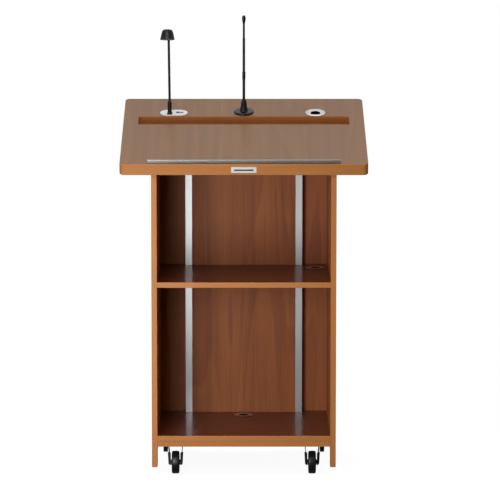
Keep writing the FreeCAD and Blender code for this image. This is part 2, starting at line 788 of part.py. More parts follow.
def make_lamp():
    row_along = of("lamp_row")
    neck = of("lamp_neck_radius")
    sleeve = of("lamp_sleeve_radius")
    high = of("lamp_sleeve_high")
    plate = of("outlet_plate")
    floor = -of("outlet_deep") * 0.5
    gap = of("flex_gap")
    collar = sleeve + 2.5
    profile = [
        (neck + seam, floor), (sleeve, floor), (sleeve, plate), (collar, plate), (collar, plate + 3),
        (sleeve, plate + 5), (sleeve, high - 4), (sleeve - 1.8, high), (neck + seam, high),
    ]
    keep(sloped_turned("lamp_sleeve_body", profile, -of("lamp_place"), row_along), "lamp_sleeve")

    lower = sloped_rod("lamp_neck_lower_tube", neck, lamp_bend - floor, -of("lamp_place"), row_along, floor)
    knuckle = ball("lamp_knuckle", neck, on_desk(-of("lamp_place"), row_along, lamp_bend))
    keep(joined("lamp_neck_lower_joined", [lower, knuckle]), "lamp_neck_lower")

    start = neck + gap
    long = of("lamp_neck_long")
    upper = rod("lamp_neck_upper_tube", neck, long - start, up_lamp_neck(start), LEANED)
    top_knuckle = ball("lamp_top_knuckle", neck, up_lamp_neck(long))
    keep(joined("lamp_neck_upper_joined", [upper, top_knuckle]), "lamp_neck_upper")

    # The elbow lies in a plane of constant X and turns from the neck's line towards the speaker.
    tilt = of("lamp_head_tilt")
    at_end = 90 - tilt
    turn = at_end - slope
    bend = of("lamp_elbow_radius")
    across, depth, height = up_lamp_neck(long)
    foot_depth = depth - start * sine(slope)
    foot_height = height + start * cosine(slope)
    centre_depth = foot_depth - bend * cosine(slope)
    centre_height = foot_height - bend * sine(slope)
    elbow = doc.addObject("Part::Torus", "lamp_elbow_tube")
    bind(elbow, "Radius1", bend)
    bind(elbow, "Radius2", neck)
    bind(elbow, "Angle3", turn)
    # A torus turns about Z from +X; it is stood up so that it turns about X from the neck's line.
    stand = Rotation(Vector(0, 1, 0), Vector(0, 0, 1), Vector(1, 0, 0), "ZXY")
    place(elbow, (across, centre_depth, centre_height), SLOPED.multiply(stand))
    end_depth = centre_depth + bend * cosine(at_end)
    end_height = centre_height + bend * sine(at_end)
    stub_long = of("lamp_stub_long")
    stub = rod("lamp_elbow_stub", neck, stub_long, (across, end_depth, end_height),
               Rotation(X_AXIS, at_end.value), at_end)
    keep(joined("lamp_elbow_joined", [elbow, stub]), "lamp_elbow")

    # The head's own axis leans back by the head tilt; its boss takes the elbow's stub.
    head_turn = Rotation(X_AXIS, -tilt.value)
    rim = of("shade_rim")
    top = of("shade_top")
    shade_high = of("shade_high")
    wall = of("shade_wall")
    entry_high = shade_high * 0.45
    wall_there = rim - (rim - top) * 0.45
    reach = wall_there + of("shade_boss_long")
    axis_depth = end_depth - reach * cosine(tilt)
    axis_height = end_height + reach * sine(tilt)
    rim_depth = axis_depth - entry_high * sine(tilt)
    rim_height = axis_height - entry_high * cosine(tilt)
    rim_centre = (across - of("shade_offset"), rim_depth, rim_height)

    def shade_outline(inset, low):
        """Bell outline: a flared rim, a leaning side and a softly domed top."""
        return [
            (0, low), (rim - inset, low), (rim - inset - 0.8, shade_high * 0.12),
            (rim - inset - 2.6, shade_high * 0.35), (rim - inset - 4.2, shade_high * 0.6),
            (rim - inset - 6.2, shade_high * 0.8), (top - inset + 0.2, shade_high * 0.93 - inset * 0.5),
            (top * 0.55 - inset * 0.3, shade_high * 0.985 - inset), (0, shade_high - inset),
        ]

    def in_head(item):
        return place(item, rim_centre, head_turn)

    outer = in_head(turned("shade_outer", shade_outline(as_size(0), as_size(0))))
    inner = in_head(turned("shade_inner", shade_outline(wall, as_size(-1))))

    def boss_rod(name, radius, far, near):
        """A rod towards the audience from the head's axis, between two distances from it."""
        start_depth = axis_depth + near * cosine(tilt)
        start_height = axis_height - near * sine(tilt)
        return rod(name, radius, far - near, (across, start_depth, start_height),
                   Rotation(X_AXIS, -90 - tilt.value))

    boss = boss_rod("shade_boss_rod", of("shade_boss"), reach, wall_there - 3)
    boss_hole = boss_rod("shade_boss_hole", neck + seam, reach + 1, reach - stub_long - seam)
    shell = cut("shade_shell", joined("shade_solid", [outer, boss]),
                joined("shade_voids", [inner, boss_hole]))
    keep(shell, "lamp_shade")

    diffuser_radius = rim - wall - 1.1
    board_high = shade_high * 0.35
    lens_low = 1.5
    lens_top = lens_low + of("diffuser_thick")
    lens = [(0, lens_low), (diffuser_radius, lens_low), (diffuser_radius - 0.35, lens_top), (0, lens_top)]
    keep(in_head(turned("lamp_diffuser_body", lens)), "lamp_diffuser")
    led_radius = rim - wall - 2.95
    leds = [(0, board_high), (led_radius, board_high), (led_radius - 0.4, board_high + 3),
            (0, board_high + 3)]
    keep(in_head(turned("lamp_led_body", leds)), "lamp_led_board")


# ---------------------------------------------------------------- microphone

def make_microphone():
    row_along = of("mic_row")
    disc = of("mic_disc")
    disc_high = of("mic_disc_high")
    socket = of("mic_socket_radius")
    socket_deep = of("mic_socket_deep")
    plug = of("mic_plug_radius")
    neck = of("mic_neck_radius")
    boot_base = of("mic_boot_base")
    gap = of("flex_gap")

    def stand(name, profile):
        return sloped_turned(f"{name}_body", profile, 0, row_along)

    flange = stand("mic_flange", [
        (plug + seam, 0), (disc, 0), (disc, disc_high * 0.5), (disc - 2, disc_high * 0.85),
        (disc - 5, disc_high), (plug + seam, disc_high),
    ])
    keep(flange, "mic_flange")
    keep(stand("mic_socket", [
        (0, -socket_deep), (socket, -socket_deep), (socket, 0), (plug + seam, 0),
        (plug + seam, -of("mic_plug_long")), (0, -of("mic_plug_long")),
    ]), "mic_socket")
    keep(stand("mic_plug", [
        (0, -of("mic_plug_long")), (plug, -of("mic_plug_long")), (plug, disc_high), (0, disc_high),
    ]), "mic_plug")
    boot_high = of("mic_boot_high")
    keep(stand("mic_boot", [
        (neck + seam, disc_high), (boot_base, disc_high), (boot_base - 1.2, boot_high * 0.35),
        (of("mic_boot_waist"), boot_high * 0.54), (of("mic_boot_shoulder"), boot_high * 0.82),
        (of("mic_boot_top"), boot_high), (neck + seam, boot_high),
    ]), "mic_boot")

    def neck_piece(name, radius, low, high):
        """A tube that ends in a half ball centred on its top."""
        tube = sloped_rod(f"{name}_tube", radius, high - low, 0, row_along, low)
        return joined(f"{name}_joined", [tube, ball(f"{name}_knuckle", radius, on_desk(0, row_along, high))])

    lower_bend = of("mic_lower_bend")
    upper_bend = of("mic_upper_bend")
    thin = of("mic_thin_radius")
    stem = of("mic_stem_radius")
    ferrule = of("mic_ferrule_radius")
    keep(neck_piece("mic_neck_lower", neck, disc_high, lower_bend), "mic_neck_lower")
    low = of("mic_ferrule_low")
    high = of("mic_ferrule_high")
    top = of("mic_stem_top")
    tube = stand("mic_stem_tube", [
        (0, lower_bend + neck + gap), (neck, lower_bend + neck + gap), (neck, low), (ferrule, low + 1),
        (ferrule, high - 1), (stem, high), (stem, top - 1), (thin, top), (thin, upper_bend),
        (0, upper_bend),
    ])
    tip = ball("mic_stem_knuckle", thin, on_desk(0, row_along, upper_bend))
    keep(joined("mic_stem_joined", [tube, tip]), "mic_stem")
    capsule_low = of("mic_capsule_low")
    keep(sloped_rod("mic_neck_upper_tube", thin, capsule_low - upper_bend - thin - gap, 0, row_along,
                    upper_bend + thin + gap), "mic_neck_upper")
    fat = of("mic_capsule_radius")
    tall = of("mic_capsule_high") - capsule_low
    keep(stand("mic_capsule", [
        (0, capsule_low), (thin + 0.2, capsule_low), (thin + 0.9, capsule_low + tall * 0.2),
        (fat - 0.5, capsule_low + tall * 0.42), (fat, capsule_low + tall * 0.55),
        (fat, capsule_low + tall * 0.72), (fat - 1.1, capsule_low + tall * 0.88),
        (fat - 3, capsule_low + tall * 0.97), (0, capsule_low + tall),
    ]), "mic_capsule")


# ---------------------------------------------------------------- castors

castor_depth = cabinet_front + of("castor_axis_depth")
wheel_depth = castor_depth - of("castor_trail")
wheel_height = of("tyre_radius")
ALONG_X = Rotation(Y_AXIS, 90)


def hole_square(name, radius, deep, across, depth, low, pitch_x, pitch_y):
    """Four rods on the corners of a rectangle."""
    return [rod(f"{name}_{sign_x}_{sign_y}", radius, deep,
                (across + pitch_x * (sign_x * 0.5), depth + pitch_y * (sign_y * 0.5), low))
            for sign_x in (-1, 1) for sign_y in (-1, 1)]


def make_castor(side, sign):
    across = sign * castor_across
    thick = of("castor_plate_thick")
    half = of("castor_plate") / 2
    plate_low = castor_high - thick
    crown_top = plate_low - of("race_high") - of("cap_gap")
    crown_low = crown_top - of("fork_thick")
    pin = of("pin_radius")

    outline = [(-half, -half), (half, -half), (half, half), (-half, half)]
    sheet_body = slab(f"{side}_plate_sheet", "XY_Plane", outline, thick)
    rounded(sheet_body, f"{side}_plate_corners", of("castor_plate_corner"),
            lambda edge: is_along(edge, Z_AXIS))
    place(sheet_body, (across, castor_depth, plate_low))
    rivet_top = crown_low - of("cap_gap")
    rivet_low = rivet_top - of("rivet_high")
    core = turned(f"{side}_king_pin", [
        (0, rivet_low), (of("rivet_radius") - 1, rivet_low), (of("rivet_radius"), rivet_low + 1),
        (of("rivet_radius"), rivet_top), (pin, rivet_top), (pin, crown_top + of("cap_gap")),
        (of("race_radius"), crown_top + of("cap_gap")), (of("race_radius") + 2, plate_low),
        (of("race_radius") + 2, plate_low + thick / 2), (0, plate_low + thick / 2),
    ], (across, castor_depth, 0))
    pitch = of("castor_hole_pitch")
    bores = hole_square(f"{side}_plate_bore", of("castor_hole"), thick * 3, across, castor_depth,
                        plate_low - thick, pitch, pitch)
    plate = cut(f"{side}_plate_cut", joined(f"{side}_plate_joined", [sheet_body, core]),
                joined(f"{side}_plate_bores", bores))
    keep(plate, f"castor_plate_{side}")

    # The fork is one folded strip: its front outline and its side outline meet in the pressed shape.
    fork = of("fork_thick")
    top_half = of("fork_top_half")
    low_half = of("fork_low_half")
    end_low = wheel_height - of("fork_end")
    shoulder = crown_top - 10
    front_outline = [
        (-low_half, end_low), (-low_half, wheel_height + 6), (-top_half, shoulder), (-top_half, crown_top),
        (top_half, crown_top), (top_half, shoulder), (low_half, wheel_height + 6), (low_half, end_low),
        (low_half - fork, end_low), (low_half - fork, wheel_height + 6), (top_half - fork, shoulder),
        (top_half - fork, crown_low), (-(top_half - fork), crown_low), (-(top_half - fork), shoulder),
        (-(low_half - fork), wheel_height + 6), (-(low_half - fork), end_low),
    ]
    strip = slab(f"{side}_fork_strip", "XZ_Plane", front_outline, of("fork_crown") * 4, centred=True)
    place(strip, (across, castor_depth, 0))
    crown = of("fork_crown")
    trail = of("castor_trail")
    end = of("fork_end")
    side_outline = [
        (-trail - end, end_low), (-trail + end, end_low), (-trail + end + 2, wheel_height + 8),
        (crown, shoulder), (crown, crown_top), (-crown, crown_top), (-crown, shoulder),
        (-trail - end - 1, wheel_height + 8),
    ]
    reach = slab(f"{side}_fork_reach", "YZ_Plane", side_outline, top_half * 4, centred=True)
    place(reach, (across, castor_depth, 0))
    blank = common(f"{side}_fork_blank", strip, reach)
    gap = of("running_gap")
    fork_bores = joined(f"{side}_fork_bores", [
        rod(f"{side}_fork_pin_bore", pin + gap, fork * 3, (across, castor_depth, crown_low - fork)),
        rod(f"{side}_fork_axle_bore", of("axle_radius") + seam, top_half * 4,
            (across - top_half * 2, wheel_depth, wheel_height), ALONG_X),
    ])
    keep(cut(f"{side}_fork_cut", blank, fork_bores), f"castor_fork_{side}")

    tyre = of("tyre_radius")
    inner = of("tyre_inner")
    half_wide = of("tyre_wide") / 2
    soft = of("tyre_round")
    tyre_body = turned(f"{side}_tyre_body", [
        (inner, -half_wide), (tyre - soft, -half_wide), (tyre - soft * 0.35, -half_wide + soft * 0.3),
        (tyre, -half_wide + soft), (tyre, half_wide - soft), (tyre - soft * 0.35, half_wide - soft * 0.3),
        (tyre - soft, half_wide), (inner, half_wide),
    ], (across, wheel_depth, wheel_height), ALONG_X)
    keep(tyre_body, f"castor_tyre_{side}")
    boss = of("hub_boss")
    hub_half = of("hub_wide") / 2
    bore = of("axle_radius") + gap
    web = half_wide - 4
    hub = turned(f"{side}_hub_body", [
        (bore, -hub_half), (boss, -hub_half), (boss, -web), (inner - 4, -web), (inner - 3, -half_wide),
        (inner, -half_wide), (inner, half_wide), (inner - 3, half_wide), (inner - 4, web), (boss, web),
        (boss, hub_half), (bore, hub_half),
    ], (across, wheel_depth, wheel_height), ALONG_X)
    keep(hub, f"castor_hub_{side}")

    axle = of("axle_radius")
    nut = of("nut_radius")
    nut_high = of("nut_high")
    axle_body = turned(f"{side}_axle_body", [
        (0, -low_half - nut_high), (nut - 1.5, -low_half - nut_high), (nut, -low_half - nut_high * 0.4),
        (nut, -low_half), (axle, -low_half), (axle, low_half), (nut, low_half),
        (nut, low_half + nut_high), (axle * 0.9, low_half + nut_high),
        (axle * 0.9, low_half + nut_high + 1.5), (0, low_half + nut_high + 1.5),
    ], (across, wheel_depth, wheel_height), ALONG_X)
    keep(axle_body, f"castor_axle_{side}")


def make_fixed_castor(side, sign):
    across = sign * fixed_across
    wheel = of("fixed_wheel")
    half = of("fixed_wide") / 2
    hub = of("fixed_hub")
    hub_half = of("fixed_hub_wide") / 2
    bore = of("fixed_axle") + of("running_gap")
    keep(turned(f"{side}_fixed_wheel_body", [
        (bore, -hub_half), (hub, -hub_half), (hub, -half + 2), (wheel - 9, -half + 2), (wheel - 8, -half),
        (wheel - 2, -half), (wheel, -half + 2), (wheel, half - 2), (wheel - 2, half), (wheel - 8, half),
        (wheel - 9, half - 2), (hub, half - 2), (hub, hub_half), (bore, hub_half),
    ], (across, fixed_depth, wheel), ALONG_X), f"fixed_wheel_{side}")

    steel = of("fixed_steel")
    inside = hub_half + of("fixed_side_gap")
    arm_half = of("fixed_arm")
    top = castor_high - steel
    arms = []
    for index, low_x in enumerate((-inside - steel, inside)):
        outline = [
            (-arm_half * 0.6, wheel - 8), (arm_half * 0.6, wheel - 8), (arm_half, wheel + 4),
            (arm_half * 1.5, top), (-arm_half * 1.5, top), (-arm_half, wheel + 4),
        ]
        arm = slab(f"{side}_fixed_arm_{index}", "YZ_Plane", outline, steel)
        arms.append(place(arm, (across + low_x, fixed_depth, 0)))
    plate_wide = of("fixed_plate_wide")
    plate_long = of("fixed_plate_long")
    plate_low_x = across - fixed_half if sign < 0 else across + fixed_half - plate_wide
    plate = block(f"{side}_fixed_plate", (plate_low_x, fixed_depth - plate_long / 2, top),
                  (plate_wide, plate_long, steel))
    holes = [rod(f"{side}_fixed_axle_bore", of("fixed_axle") + seam, fixed_half * 4,
                 (across - fixed_half * 2, fixed_depth, wheel), ALONG_X)]
    for index, point in enumerate(fixed_screw_places(sign)):
        holes.append(rod(f"{side}_fixed_plate_bore_{index}", of("castor_hole"), steel * 3,
                         (point[0], point[1], top - steel)))
    keep(cut(f"{side}_fixed_cut", joined(f"{side}_fixed_joined", arms + [plate]),
             joined(f"{side}_fixed_bores", holes)), f"fixed_bracket_{side}")


def make_fixed_axles():
    axle = of("fixed_axle")
    outer = fixed_half
    head = axle + 2
    axles = []
    for side, sign in SIDES.items():
        axles.append(turned(f"{side}_fixed_axle_body", [
            (0, -outer - 1.5), (head - 1, -outer - 1.5), (head, -outer - 0.5), (head, -outer),
            (axle, -outer), (axle, outer), (head, outer), (head, outer + 0.5), (head - 1, outer + 1.5),
            (0, outer + 1.5),
        ], (sign * fixed_across, fixed_depth, of("fixed_wheel")), ALONG_X))
    keep(grouped("fixed_axles_set", axles), "fixed_axles")


def make_castor_screws():
    """Pan-head screws up through every castor plate into the battens."""
    shank = of("screw_radius")
    head = of("screw_head_radius")
    head_high = of("screw_head_high")
    places = [point for sign in SIDES.values() for point in castor_screw_places(sign)]
    screws = []
    for index, point in enumerate(places):
        screws.append(turned(f"castor_screw_{index}", [
            (0, -head_high), (head - 1.2, -head_high), (head, 0), (shank, 0),
            (shank, of("castor_screw_long")), (0, of("castor_screw_long")),
        ], point))
    keep(grouped("castor_screws_set", screws), "castor_screws")


# ---------------------------------------------------------------- the whole lectern

make_side_panels()
level_board("base_board", base_top, 0, cabinet_front + of("base_grommet_depth"))
level_board("shelf", of("shelf_height"), of("grommet_place"), cabinet_front + of("shelf_grommet_depth"))
make_dowels()
make_audience_side()
make_base_frame()
make_desk_top()
make_cleats()
make_book_stop()
make_name_plate()
make_grommet("desk", of("grommet_place"), of("grommet_row"), None)
make_grommet("shelf", of("grommet_place"), cabinet_front + of("shelf_grommet_depth"), of("shelf_height"))
make_grommet("base", 0, cabinet_front + of("base_grommet_depth"), base_top)
make_outlet()
make_lamp()
make_microphone()
for castor_side, castor_sign in SIDES.items():
    make_castor(castor_side, castor_sign)
    make_fixed_castor(castor_side, castor_sign)
make_fixed_axles()
make_castor_screws()

# ---------------------------------------------------------------- check and write

doc.recompute()
for item in doc.Objects:
    if "Invalid" in item.State or "Error" in item.State:
        raise RuntimeError(f"{item.Label} failed to build: {item.State}")
os.makedirs("parts", exist_ok=True)
for item in pieces:
    shape = item.Shape
    if shape.isNull() or not shape.isValid() or not shape.Solids:
        raise RuntimeError(f"{item.Label} has no valid solid")
for item in pieces:
    item.Shape.exportStep(os.path.join("parts", f"{item.Label}.step"))
print(len(pieces), "sub-parts written")
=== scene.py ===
"""Presentation lectern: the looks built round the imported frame. Lengths are in metres."""
import json
import math

import bmesh
import bpy
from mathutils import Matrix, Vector


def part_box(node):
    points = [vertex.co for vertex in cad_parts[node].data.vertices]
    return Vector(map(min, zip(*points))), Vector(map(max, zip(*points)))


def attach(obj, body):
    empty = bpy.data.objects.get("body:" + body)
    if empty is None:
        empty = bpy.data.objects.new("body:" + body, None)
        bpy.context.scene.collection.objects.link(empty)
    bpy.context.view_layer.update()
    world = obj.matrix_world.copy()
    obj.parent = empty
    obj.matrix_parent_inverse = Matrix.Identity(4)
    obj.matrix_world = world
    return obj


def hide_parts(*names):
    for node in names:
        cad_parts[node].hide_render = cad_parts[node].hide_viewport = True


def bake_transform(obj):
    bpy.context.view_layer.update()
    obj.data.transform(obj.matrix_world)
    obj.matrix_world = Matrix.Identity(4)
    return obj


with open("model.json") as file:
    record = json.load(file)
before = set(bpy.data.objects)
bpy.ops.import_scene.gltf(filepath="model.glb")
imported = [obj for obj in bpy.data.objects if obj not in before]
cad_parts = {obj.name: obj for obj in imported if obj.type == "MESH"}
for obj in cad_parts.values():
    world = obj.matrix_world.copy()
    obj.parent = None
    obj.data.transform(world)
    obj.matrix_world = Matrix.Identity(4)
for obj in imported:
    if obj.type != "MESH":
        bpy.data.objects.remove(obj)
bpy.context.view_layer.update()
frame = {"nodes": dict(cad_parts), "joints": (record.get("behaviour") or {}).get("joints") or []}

MM = 0.001
X, Y, Z = Vector((1, 0, 0)), Vector((0, 1, 0)), Vector((0, 0, 1))
SIDES = ("left", "right")
JOINTS = {joint["name"]: joint for joint in frame["joints"]}
SLOPE_UP = Vector(JOINTS["grommet_desk_turn"]["axis"])      # straight up out of the desk's face
SLOPE_ALONG = SLOPE_UP.cross(X)                             # up the desk, from the speaker to the audience
SLOPE = math.atan2(SLOPE_ALONG.z, SLOPE_ALONG.y)


def anchor(joint):
    return Vector(JOINTS[joint]["pos_m"])


def middle(node):
    low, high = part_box(node)
    return (low + high) / 2


# ---------------------------------------------------------------- materials

def linear(colour):
    """An sRGB hex colour as linear RGBA."""
    channels = []
    for start in (0, 2, 4):
        value = int(colour[start:start + 2], 16) / 255
        channels.append(value / 12.92 if value <= 0.04045 else ((value + 0.055) / 1.055) ** 2.4)
    return (*channels, 1.0)


def add(tree, kind, inputs=None, stops=None, **settings):
    """Add one shader node: its settings, then each input as a link or a plain value."""
    made = tree.nodes.new("ShaderNode" + kind)
    for word, value in settings.items():
        setattr(made, word, value)
    for word, value in (inputs or {}).items():
        if isinstance(value, bpy.types.NodeSocket):
            tree.links.new(value, made.inputs[word])
        else:
            made.inputs[word].default_value = value
    if stops:
        ramp = made.color_ramp
        while len(ramp.elements) < len(stops):
            ramp.elements.new(0.5)
        for element, (place, colour) in zip(ramp.elements, stops):
            element.position = place
            element.color = linear(colour) if isinstance(colour, str) else (colour, colour, colour, 1)
    return made


def blank(name):
    material = bpy.data.materials.new(name)
    material.use_nodes = True
    material.node_tree.nodes.clear()
    return material, material.node_tree


def finish(material, surface, height=None, relief=0.02 * MM):
    """Close a material with its shader; height, where given, becomes a fine bump."""
    tree = material.node_tree
    if height is not None:
        bump = add(tree, "Bump", {"Height": height, "Distance": relief, "Strength": 1.0})
        surface = {**surface, "Normal": bump.outputs["Normal"]}
    shader = add(tree, "BsdfPrincipled", surface)
    add(tree, "OutputMaterial", {"Surface": shader.outputs["BSDF"]})
    return material


GRAIN_TURNS = {
    # the turn that lays a direction of the lectern along the pattern's own Z
    "z": (0, 0, 0),
    "x": (0, -math.pi / 2, 0),
    "desk": (math.pi / 2 - SLOPE, 0, 0),
}


# How much each layer of the figure moves the tone of the wood, and the mean of the ring layer.
RING_SHARE, RIBBON_SHARE, FIBRE_SHARE = 0.34, 0.95, 0.85
RING_MEAN = 0.62
PORE_SHARE = 0.35
PORE_BROWN = "2e170c"


def stained_wood(name, grain, colours, place=(0, 0, 0), figure=9.0, contrast=0.5, coat=0.0,
                 coat_rough=0.22, rough=0.56):
    """Cherry-stained veneer under satin lacquer.

    The eye gets long straight fibres, wider light and dark bands with a cathedral where the cut
    meets the growth rings, short dark pores, and a soft sheen from the lacquer. figure is how many
    rings the broad field is cut into; place shifts the pattern so that no two boards match.
    """
    light, mid, dark = colours
    material, tree = blank(name)
    where = add(tree, "TexCoord").outputs["Object"]
    laid = add(tree, "Mapping", {"Vector": where, "Location": place, "Rotation": GRAIN_TURNS[grain]})
    laid = laid.outputs["Vector"]

    def field(across_mm, along_mm, detail, roughness=0.5, distortion=0.0):
        """Noise stretched along the grain, its features that many millimetres wide and long."""
        scale = (1 / (across_mm * MM), 1 / (across_mm * MM), 1 / (along_mm * MM))
        put = add(tree, "Mapping", {"Vector": laid, "Scale": scale})
        return add(tree, "TexNoise", {"Vector": put.outputs["Vector"], "Scale": 1.0, "Detail": detail,
                                      "Roughness": roughness, "Distortion": distortion}).outputs["Fac"]

    # Growth rings: contours of one broad field, 15 to 40 mm apart across the face.
    broad = field(170, 1530, 1.0, 0.4, 0.25)
    rings = add(tree, "Math", {0: broad, 1: figure}, operation="MULTIPLY").outputs[0]
    rings = add(tree, "Math", {0: rings}, operation="FRACT").outputs[0]
    rings = add(tree, "ValToRGB", {"Fac": rings},
                stops=[(0.0, 0.25), (0.62, 0.62), (0.9, 0.95), (1.0, 0.25)])
    # Ribbon: bands 26 mm wide that run the whole length of the sheet.
    ribbon = field(26, 1500, 3.0, 0.6)
    # Fibres 1.6 mm wide, drawn coarser than the real 0.2 mm so that they show.
    fibres = field(1.6, 130, 3.0, 0.6)
    # Pores: dark ticks 0.9 mm wide and 12 mm long, drawn coarser than the real 0.2 mm.
    ticks = field(0.9, 12, 2.0, 0.7)
    pores = add(tree, "ValToRGB", {"Fac": ticks}, stops=[(0.30, 0.0), (0.40, 1.0)]).outputs["Color"]

    tone = add(tree, "Math", {0: rings.outputs["Color"], 1: RING_SHARE * contrast},
               operation="MULTIPLY").outputs[0]
    for layer, share in ((ribbon, RIBBON_SHARE * contrast), (fibres, FIBRE_SHARE * contrast)):
        scaled = add(tree, "Math", {0: layer, 1: share}, operation="MULTIPLY").outputs[0]
        tone = add(tree, "Math", {0: tone, 1: scaled}, operation="ADD").outputs[0]
    # Shifted so that the mean tone is the middle stain whatever the contrast.
    centre = (RING_SHARE * RING_MEAN + RIBBON_SHARE * 0.5 + FIBRE_SHARE * 0.5) * contrast
    tone = add(tree, "Math", {0: tone, 1: 0.5 - centre}, operation="ADD", use_clamp=True).outputs[0]
    colour = add(tree, "ValToRGB", {"Fac": tone}, stops=[(0.18, dark), (0.5, mid), (0.82, light)])
    pore_share = add(tree, "Math", {0: 1.0, 1: pores}, operation="SUBTRACT").outputs[0]
    pore_share = add(tree, "Math", {0: pore_share, 1: PORE_SHARE * contrast},
                     operation="MULTIPLY").outputs[0]
    colour = add(tree, "MixRGB", {"Fac": pore_share, "Color1": colour.outputs["Color"],
                                  "Color2": linear(PORE_BROWN)}).outputs["Color"]
    gloss = add(tree, "MapRange", {"Value": fibres, "To Min": rough - 0.05, "To Max": rough + 0.07})
    height = add(tree, "Math", {0: fibres, 1: pores}, operation="ADD").outputs[0]
    return finish(material, {
        "Base Color": colour, "Roughness": gloss.outputs["Result"], "IOR": 1.5,
        "Coat Weight": coat, "Coat Roughness": coat_rough, "Coat IOR": 1.5,
    }, height, 0.02 * MM)


def aluminium(name, grain, colour, rough, streak=0.1, anisotropic=0.4):
    """Extruded aluminium, satin anodised.

    The eye gets a pale grey metal with faint drawn lines along the bar and a wide soft highlight.
    """
    material, tree = blank(name)
    where = add(tree, "TexCoord").outputs["Object"]
    laid = add(tree, "Mapping", {"Vector": where, "Rotation": GRAIN_TURNS[grain]}).outputs["Vector"]
    # Die lines 0.6 mm apart, drawn coarser than the real 0.1 mm.
    put = add(tree, "Mapping", {"Vector": laid, "Scale": (1 / (0.6 * MM), 1 / (0.6 * MM), 1 / 0.4)})
    lines = add(tree, "TexNoise", {"Vector": put.outputs["Vector"], "Scale": 1.0, "Detail": 3.0})
    lines = lines.outputs["Fac"]
    gloss = add(tree, "MapRange", {"Value": lines, "To Min": rough - streak / 2,
                                   "To Max": rough + streak / 2})
    tint = add(tree, "MapRange", {"Value": lines, "To Min": 0.0, "To Max": 1.0}).outputs["Result"]
    shade = add(tree, "MixRGB", {"Fac": tint, "Color1": [c * 0.9 for c in linear(colour)[:3]] + [1],
                                 "Color2": linear(colour)})
    return finish(material, {
        "Base Color": shade.outputs["Color"], "Metallic": 1.0, "Roughness": gloss.outputs["Result"],
        "Anisotropic": anisotropic,
    }, lines, 0.006 * MM)


def moulded(name, colour, rough, grit_mm=0.6, relief=0.01, variation=0.08, coat=0.0, metallic=0.0):
    """A moulded, painted or plated surface with a fine even texture.

    The eye gets one colour broken by a light grit and by a slow change of gloss where hands touch it.
    """
    material, tree = blank(name)
    where = add(tree, "TexCoord").outputs["Object"]
    grit = add(tree, "TexNoise", {"Vector": where, "Scale": 1 / (grit_mm * MM), "Detail": 2.0}).outputs["Fac"]
    wear = add(tree, "TexNoise", {"Vector": where, "Scale": 1 / (28 * MM), "Detail": 3.0}).outputs["Fac"]
    gloss = add(tree, "MapRange", {"Value": wear, "From Min": 0.3, "From Max": 0.7,
                                   "To Min": rough - variation / 2, "To Max": rough + variation / 2})
    base = linear(colour)
    tint = add(tree, "MixRGB", {"Fac": grit, "Color1": [c * (1 - variation) for c in base[:3]] + [1],
                                "Color2": [min(c * (1 + variation), 1) for c in base[:3]] + [1]})
    surface = {"Base Color": tint.outputs["Color"], "Roughness": gloss.outputs["Result"]}
    if metallic:
        surface["Metallic"] = metallic
    else:
        surface["IOR"] = 1.5
    if coat:
        surface.update({"Coat Weight": coat, "Coat Roughness": 0.08})
    return finish(material, surface, grit, relief * MM)


# Stains, each as its light, middle and dark tone.
VENEER = ("c07233", "a85c26", "7c3d18")             # upright boards
DESK_VENEER_SHEENED = ("a1703c", "90602f", "764b20")        # sloping desk: the upright veneer greyed, a painted sheen
VENEER_SHADED = ("7c3c1b", "622b12", "4a1f0b")        # shelf and base: the upright veneer darkened, painted shade on the level boards
LIPPING = ("d8924e", "c97f3c", "b46d2f")            # solid lipping round the boards
ROUTED_LIGHTENED = ("d48446", "c07337", "a25d2a")             # raw wall of the pen trough, its own tone lightened further as painted light in the shaded trough
BEECH = ("c9a273", "b88f60", "9c754a")              # battens and cleats

wood = {
    "side_left": stained_wood("veneer_side_left", "z", VENEER, (0.31, 0.2, 0.4)),
    "side_right": stained_wood("veneer_side_right", "z", VENEER, (1.73, 0.6, 0.1)),
    "back_left": stained_wood("veneer_back_left", "z", VENEER, (2.13, 0.9, 0.7)),
    "back_right": stained_wood("veneer_back_right", "z", VENEER, (3.57, 0.4, 0.2)),
    "centre": stained_wood("veneer_centre", "z", VENEER, (0.62, 0.35, 0.35), figure=11, contrast=0.62),
    # Polished lacquer on the shelf and base: the posts mirror in it. Their stain is darkened as painted
    # shade.
    "level": stained_wood("veneer_level_shaded", "x", VENEER_SHADED, (0.2, 1.3, 0.5), coat=0.35, coat_rough=0.14,
                          rough=0.45),
    # The desk's stain is greyed as a painted sheen, on top of the lacquer's own.
    "desk": stained_wood("veneer_desk_painted_sheen", "desk", DESK_VENEER_SHEENED, (0.4, 0.8, 1.5), figure=7, coat=0.1,
                         rough=0.42),
    # Unlacquered backing veneer below the desk: dull, with no sheen at a low angle.
    "underside": stained_wood("backing_desk_underside", "desk", VENEER, (1.4, 0.3, 0.5), contrast=0.35,
                              rough=0.9),
    "lipping_x": stained_wood("lipping_across", "x", LIPPING, (0.1, 0.5, 0.3), contrast=0.32),
    "lipping_z": stained_wood("lipping_upright", "z", LIPPING, (0.7, 0.2, 0.3), contrast=0.32),
    "lipping_desk": stained_wood("lipping_desk_sides", "desk", LIPPING, (0.9, 0.2, 0.3), contrast=0.32),
    # The trough wall is the raw routed wood, lightened beyond its own tone as painted light.
    "routed": stained_wood("routed_tray_wall_painted_light", "x", ROUTED_LIGHTENED, (0.5, 0.1, 0.3), contrast=0.4),
    "batten": stained_wood("beech_batten", "desk", BEECH, contrast=0.35, rough=0.6),
}

# Satin-anodised extrusion, drawn and etched: a pale grey with a wide highlight along the bar.
anodised_post = aluminium("anodised_post", "z", "cdcecf", 0.36)
anodised_stop = aluminium("anodised_book_stop", "x", "c9cacb", 0.3)
# Moulded ABS with metallic paint: bright silver, smooth, picks up its surroundings softly.
silver_abs = moulded("silver_painted_abs", "dcdddd", 0.3, 0.5, 0.006, 0.05, metallic=1.0)
